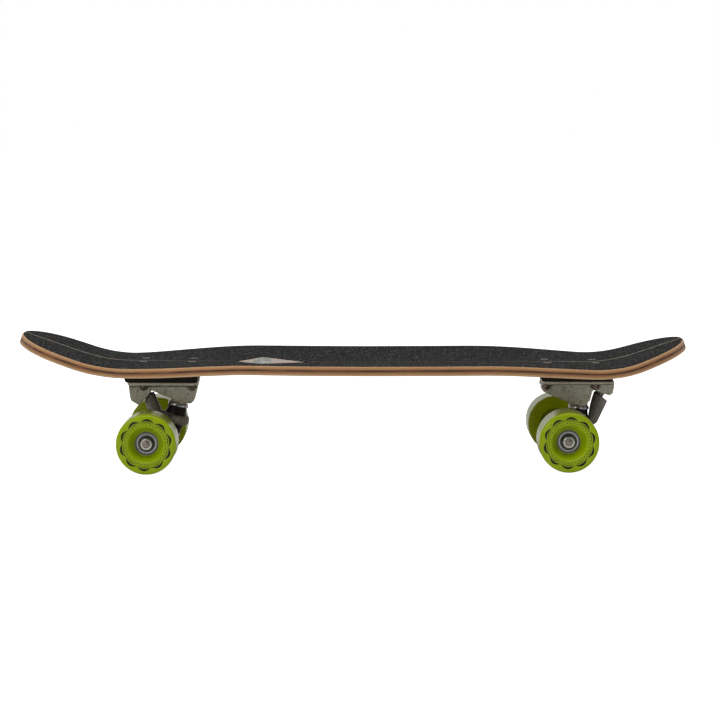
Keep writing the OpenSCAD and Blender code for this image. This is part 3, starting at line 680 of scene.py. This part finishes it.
WV, WF = lathe(wheel_profile(), 192)
PV, PF = print_mesh()
for end, axle in (("front", FRONT_AXLE), ("rear", REAR_AXLE)):
    for side_name, s in (("left", -1), ("right", 1)):
        tag = end + "_" + side_name
        body = tag + "_wheel_body"
        o = make(tag + "_tyre", row(wheel_place(WV, axle, s)), WF, m_ure, 50)
        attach(o, body)
        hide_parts(tag + "_wheel")
        p = make(tag + "_print", row(wheel_place(PV, axle, s)), PF, m_print, 30)
        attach(p, body)


# ---------------------------------------------------------------- bushings, between board and hanger
def pin_place(v, ring, lean):
    c, s = math.cos(math.radians(lean)), math.sin(math.radians(lean))
    v = np.asarray(v, float)
    return np.stack([v[:, 0] * c + v[:, 2] * s + ring[0], v[:, 1], -v[:, 0] * s + v[:, 2] * c + ring[1]], 1)


def bushing(upper_one):
    if upper_one:
        z0, z1, r0, r1 = 3.5, 17.0, 12.4, 10.2
    else:
        z0, z1, r0, r1 = -3.5, -15.5, 11.7, 9.6
    n = 14
    p = []
    for i in range(n + 1):
        u = i / n
        r = r0 + (r1 - r0) * u - 0.35 * math.sin(math.pi * u)
        e = min(u, 1 - u) * n
        if e < 1:
            r -= 0.7 * (1 - e)**2
        p.append((r, z0 + (z1 - z0) * u))
    p += [(4.9, z1), (4.9, (z0 + z1) / 2), (4.9, z0)]
    return lathe(p, 96)


for end, ring, lean in (("front", FRONT_RING, FRONT_LEAN), ("rear", REAR_RING, REAR_LEAN)):
    for which, up in (("upper", True), ("lower", False)):
        v, f = bushing(up)
        o = make(end + "_" + which + "_cushion", row(pin_place(v, ring, lean)), f, m_bush, 50)
        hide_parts(end + "_" + which + "_bushing")
        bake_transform(o)

# ---------------------------------------------------------------- CAD nodes that stay: finish and edges
FINISH = {
    "riser_pad": (m_riser, "bevel", 0.5), "truck_bolts": (m_bolt, "bevel", 0.12), "truck_bolt_nuts": (m_black_steel, "bevel", 0.25),
    "baseplate": (m_base, "cast", 0.55), "pivot_cup": (m_bush, None, 0), "kingpin": (m_zinc, "bevel", 0.3),
    "kingpin_nut": (m_zinc, "bevel", 0.3), "upper_cup_washer": (m_cup, None, 0), "lower_washer": (m_cup, None, 0),
    "hanger": (m_hanger, "cast", 0.55), "axle": (m_axle, None, 0), "axle_nuts": (None, "bevel", 0.3),
    "speed_washers": (m_zinc, None, 0), "bearing_inner_rings": (m_bearing, None, 0), "bearing_spacers": (m_zinc, None, 0),
    "wheel_core": (m_core_pl, "bevel", 0.25), "bearing_outer_rings": (m_bearing, "bevel", 0.2), "bearing_shields": (m_shield, None, 0),
    "bearing_balls": (m_bright, None, 0),
}
for name, o in NODES.items():
    if o.hide_render:
        continue
    key = name.split("_", 1)[1]
    if key not in FINISH:
        key = name.split("_", 2)[2]
    mat_, how, size = FINISH[key]
    if mat_ is None:
        mat_ = m_nut_f if name.startswith("front") else m_nut_r
    o.data.materials.clear()
    o.data.materials.append(mat_.m)
    o.data.shade_smooth()
    weld = o.modifiers.new("weld", "WELD")
    weld.merge_threshold = 0.00001
    if how == "bevel":
        b = o.modifiers.new("bevel", "BEVEL")
        b.width, b.segments, b.limit_method, b.angle_limit = size / 1000, 2, "ANGLE", math.radians(32)
        b.harden_normals = True
        b.use_clamp_overlap = True
    elif how == "cast":
        r = o.modifiers.new("remesh", "REMESH")
        r.mode, r.voxel_size, r.use_smooth_shade = "VOXEL", size / 1000, True
        sm = o.modifiers.new("smooth", "SMOOTH")
        sm.factor, sm.iterations = 0.5, 5
    if how != "cast":
        o.data.set_sharp_from_angle(angle=math.radians(32))

# ---------------------------------------------------------------- stage, light, camera
floor_me = bpy.data.meshes.new("floor")
S = 30.0
floor_me.from_pydata([(-S, -S, 0), (S, -S, 0), (S, S, 0), (-S, S, 0)], [], [(0, 1, 2, 3)])
floor = bpy.data.objects.new("floor", floor_me)
col.objects.link(floor)
m_floor = Mat("pale_floor", rough=0.9, spec=0.0)
m_floor.color((0.9, 0.9, 0.9, 1))
m_floor.set("Emission Color", (1, 1, 1, 1))
lp = m_floor.node("ShaderNodeLightPath")
m_floor.link(m_floor.math("MULTIPLY_ADD", lp.outputs["Is Camera Ray"], 0.9, 0.04), m_floor.b.inputs["Emission Strength"])
floor_me.materials.append(m_floor.m)


world = bpy.data.worlds.new("studio")
bpy.context.scene.world = world
world.use_nodes = True
bg = next(n for n in world.node_tree.nodes if n.type == "BACKGROUND")
# a white sweep behind the board and a darker room in front of it
wt = world.node_tree
tc = wt.nodes.new("ShaderNodeTexCoord")
sx = wt.nodes.new("ShaderNodeSeparateXYZ")
wt.links.new(tc.outputs["Generated"], sx.inputs[0])
mr = wt.nodes.new("ShaderNodeMapRange")
mr.interpolation_type = "SMOOTHSTEP"
for k, v in (("From Min", -0.5), ("From Max", 0.2), ("To Min", 0.08), ("To Max", 0.62)):
    mr.inputs[k].default_value = v
wt.links.new(sx.outputs[1], mr.inputs["Value"])
wlp = wt.nodes.new("ShaderNodeLightPath")
seen = wt.nodes.new("ShaderNodeMath")
seen.operation = "MAXIMUM"
wt.links.new(mr.outputs["Result"], seen.inputs[0])
wt.links.new(wlp.outputs["Is Camera Ray"], seen.inputs[1])
wt.links.new(seen.outputs[0], bg.inputs["Strength"])
bg.inputs["Color"].default_value = (1, 1, 1, 1)


def area(name, loc, target, size, power):
    L = bpy.data.lights.new(name, "AREA")
    L.shape, L.size, L.size_y, L.energy = "RECTANGLE", size[0], size[1], power
    o = bpy.data.objects.new(name, L)
    o.location = loc
    o.rotation_euler = (Vector(target) - Vector(loc)).to_track_quat("-Z", "Y").to_euler()
    col.objects.link(o)
    return o


area("top", (0.0, -0.6, 1.9), (0, 0, 0.06), (2.2, 0.55), 15)
area("key", (-1.5, -1.9, 1.3), (-0.1, 0, 0.06), (1.2, 1.0), 15)
area("fill", (1.4, -1.9, 1.0), (0, 0, 0.06), (1.0, 1.0), 2)

cam_d = bpy.data.cameras.new("camera")
cam_d.sensor_width = 36.0
cam_d.sensor_fit = "HORIZONTAL"
cam_d.lens = 127.838
cam_d.clip_start, cam_d.clip_end = 0.1, 200
cam = bpy.data.objects.new("camera", cam_d)
col.objects.link(cam)
TH, RO, PS = 0.092449, 0.00320981, 0.00297348
fw = Vector((math.sin(PS) * math.cos(TH), math.cos(PS) * math.cos(TH), -math.sin(TH)))
rt = Vector((math.cos(PS), -math.sin(PS), 0))
up = rt.cross(fw)
r2 = rt * math.cos(RO) + up * math.sin(RO)
u2 = -rt * math.sin(RO) + up * math.cos(RO)
R = Matrix((r2, u2, -fw)).transposed()
turn = Matrix.Rotation(LEAN, 3, "Y")
loc = Vector(row([(-0.02, -2837.86, 375.95)])[0])
cam.matrix_world = Matrix.Translation(loc) @ (turn @ R).to_4x4()
bpy.context.scene.camera = cam
bpy.context.scene.view_settings.view_transform = "Standard"
bpy.context.scene.view_settings.look = "None"
